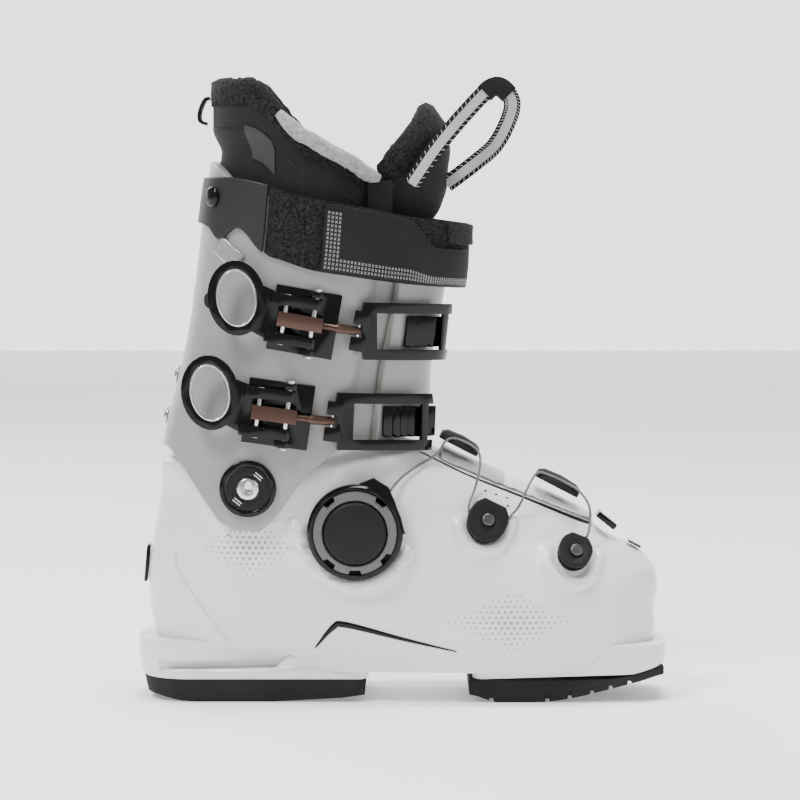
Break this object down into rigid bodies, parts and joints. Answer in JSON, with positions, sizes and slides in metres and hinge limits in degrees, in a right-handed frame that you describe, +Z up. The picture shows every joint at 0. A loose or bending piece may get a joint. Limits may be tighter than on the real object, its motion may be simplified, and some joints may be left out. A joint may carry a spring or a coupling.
{
  "type": "alpine ski boot",
  "caption": "Right-foot alpine ski boot: white lower shell with lacing dial, hinged grey cuff with buckles and power strap, removable padded liner, rubber walking soles.",
  "frame": {"origin": "on the floor below the mid-sole point, centred between the widest points", "axes": "+X towards the toe, -Y towards the outer side of the foot, +Z up"},
  "size_m": [0.285, 0.1158, 0.332],
  "materials": {
    "shell_white": "satin gloss injection-moulded polyurethane",
    "cuff_grey": "satin, slightly translucent",
    "black_plastic": "glossy moulded black",
    "dark_disc": "matt",
    "dial_grey": "soft-touch grey",
    "steel": "plain steel",
    "polished_lip": "polished",
    "brown_metal": "brown anodised",
    "sole_rubber": "matt, fine grain",
    "board": "matt",
    "liner_fabric": "black textile and foam",
    "fleece": "pale grey fleece",
    "webbing": "woven grey webbing with black edges",
    "strap_plastic": "matt charcoal",
    "strap_fabric": "black loop fabric and elastic weave",
    "strap_patch": "matt black with a silver mesh print",
    "ribbed_silver": "silver, ribbed"
  },
  "bodies": {
    "shell": {"lower_shell": "shell_white", "heel_pad": "sole_rubber", "toe_pad": "sole_rubber", "boot_board": "board", "instep_flap": "shell_white", "liner_foot": "liner_fabric", "dial_housing": "black_plastic", "side_guide_1": "black_plastic", "side_guide_2": "black_plastic", "side_guide_screw_1": "steel", "side_guide_screw_2": "steel", "top_guide_1": "black_plastic", "top_guide_2": "black_plastic", "lace": "steel", "front_clip": "black_plastic", "toe_badge": "black_plastic", "heel_back_plate": "black_plastic"},
    "cuff": {"canting_ring_lateral": "black_plastic", "canting_ring_medial": "black_plastic", "cuff": "cuff_grey", "cuff_plug": "black_plastic", "liner_fleece_roll": "fleece", "liner_rear_tab": "webbing", "liner_shaft": "liner_fabric", "liner_tongue": "liner_fabric", "lower_buckle_base": "black_plastic", "lower_ladder": "black_plastic", "lower_lever_pin": "steel", "pivot_screw_lateral": "steel", "pivot_screw_medial": "steel", "spine_bolt_lower": "steel", "spine_bolt_upper": "steel", "strap_anchor_ribbed": "ribbed_silver", "strap_elastic": "strap_fabric", "strap_end_patch": "strap_patch", "strap_rear_panel": "strap_plastic", "strap_rivet_lateral": "black_plastic", "strap_rivet_medial": "black_plastic", "strap_web": "strap_fabric", "tongue_pull_loop": "webbing", "upper_buckle_base": "black_plastic", "upper_ladder": "black_plastic", "upper_lever_pin": "steel"},
    "upper_lever": {"upper_lever": "black_plastic", "upper_lever_lip": "polished_lip", "upper_link_pin": "steel"},
    "upper_link": {"upper_link": "brown_metal"},
    "upper_bail": {"upper_bail": "black_plastic", "upper_bail_pin": "steel"},
    "lower_lever": {"lower_lever": "black_plastic", "lower_lever_lip": "polished_lip", "lower_link_pin": "steel"},
    "lower_link": {"lower_link": "brown_metal"},
    "lower_bail": {"lower_bail": "black_plastic", "lower_bail_pin": "steel"},
    "lacing_dial": {"dial_cap": "black_plastic", "dial_grip_ring": "dial_grey", "dial_spool": "dial_grey"},
    "canting_disc_lateral": {"canting_disc_lateral": "dark_disc"},
    "canting_disc_medial": {"canting_disc_medial": "dark_disc"}
  },
  "joints": [
    {"name": "cuff_flex", "type": "hinge", "parent": "shell", "child": "cuff", "pos_m": [-0.0815, 0.0032, 0.1164], "axis": [0, 1, 0], "range_deg": [0, 1.8], "stiffness_Nm_per_rad": 450},
    {"name": "upper_lever_hinge", "type": "hinge", "parent": "cuff", "child": "upper_lever", "pos_m": [-0.047, -0.05122, 0.204], "axis": [0.1736, 0, 0.9848], "range_deg": [0, 150]},
    {"name": "upper_link_hinge", "type": "hinge", "parent": "upper_lever", "child": "upper_link", "pos_m": [-0.06177, -0.05562, 0.20661], "axis": [0.1736, 0, 0.9848], "range_deg": [-150, 0]},
    {"name": "upper_bail_hinge", "type": "hinge", "parent": "upper_link", "child": "upper_bail", "pos_m": [-0.02309, -0.04724, 0.20009], "axis": [-0.1736, 0, -0.9848], "range_deg": [0, 25]},
    {"name": "lower_lever_hinge", "type": "hinge", "parent": "cuff", "child": "lower_lever", "pos_m": [-0.0608, -0.04892, 0.1555], "axis": [0.1392, 0, 0.9903], "range_deg": [0, 150]},
    {"name": "lower_link_hinge", "type": "hinge", "parent": "lower_lever", "child": "lower_link", "pos_m": [-0.07565, -0.05332, 0.15759], "axis": [0.1392, 0, 0.9903], "range_deg": [-150, 0]},
    {"name": "lower_bail_hinge", "type": "hinge", "parent": "lower_link", "child": "lower_bail", "pos_m": [-0.03704, -0.04672, 0.15237], "axis": [-0.1392, 0, -0.9903], "range_deg": [0, 25]},
    {"name": "dial_turn", "type": "hinge", "parent": "shell", "child": "lacing_dial", "pos_m": [-0.0248, -0.03869, 0.0931], "axis": [0, -1, 0], "continuous": true},
    {"name": "canting_lateral", "type": "hinge", "parent": "cuff", "child": "canting_disc_lateral", "pos_m": [-0.0815, -0.04384, 0.1164], "axis": [0, -1, 0], "range_deg": [-60, 60]},
    {"name": "canting_medial", "type": "hinge", "parent": "cuff", "child": "canting_disc_medial", "pos_m": [-0.0815, 0.05024, 0.1164], "axis": [0, 1, 0], "range_deg": [-60, 60]}
  ],
  "couplings": [
    {"joint": "upper_link_hinge", "follows": "upper_lever_hinge", "ratio": -1},
    {"joint": "lower_link_hinge", "follows": "lower_lever_hinge", "ratio": -1}
  ]
}
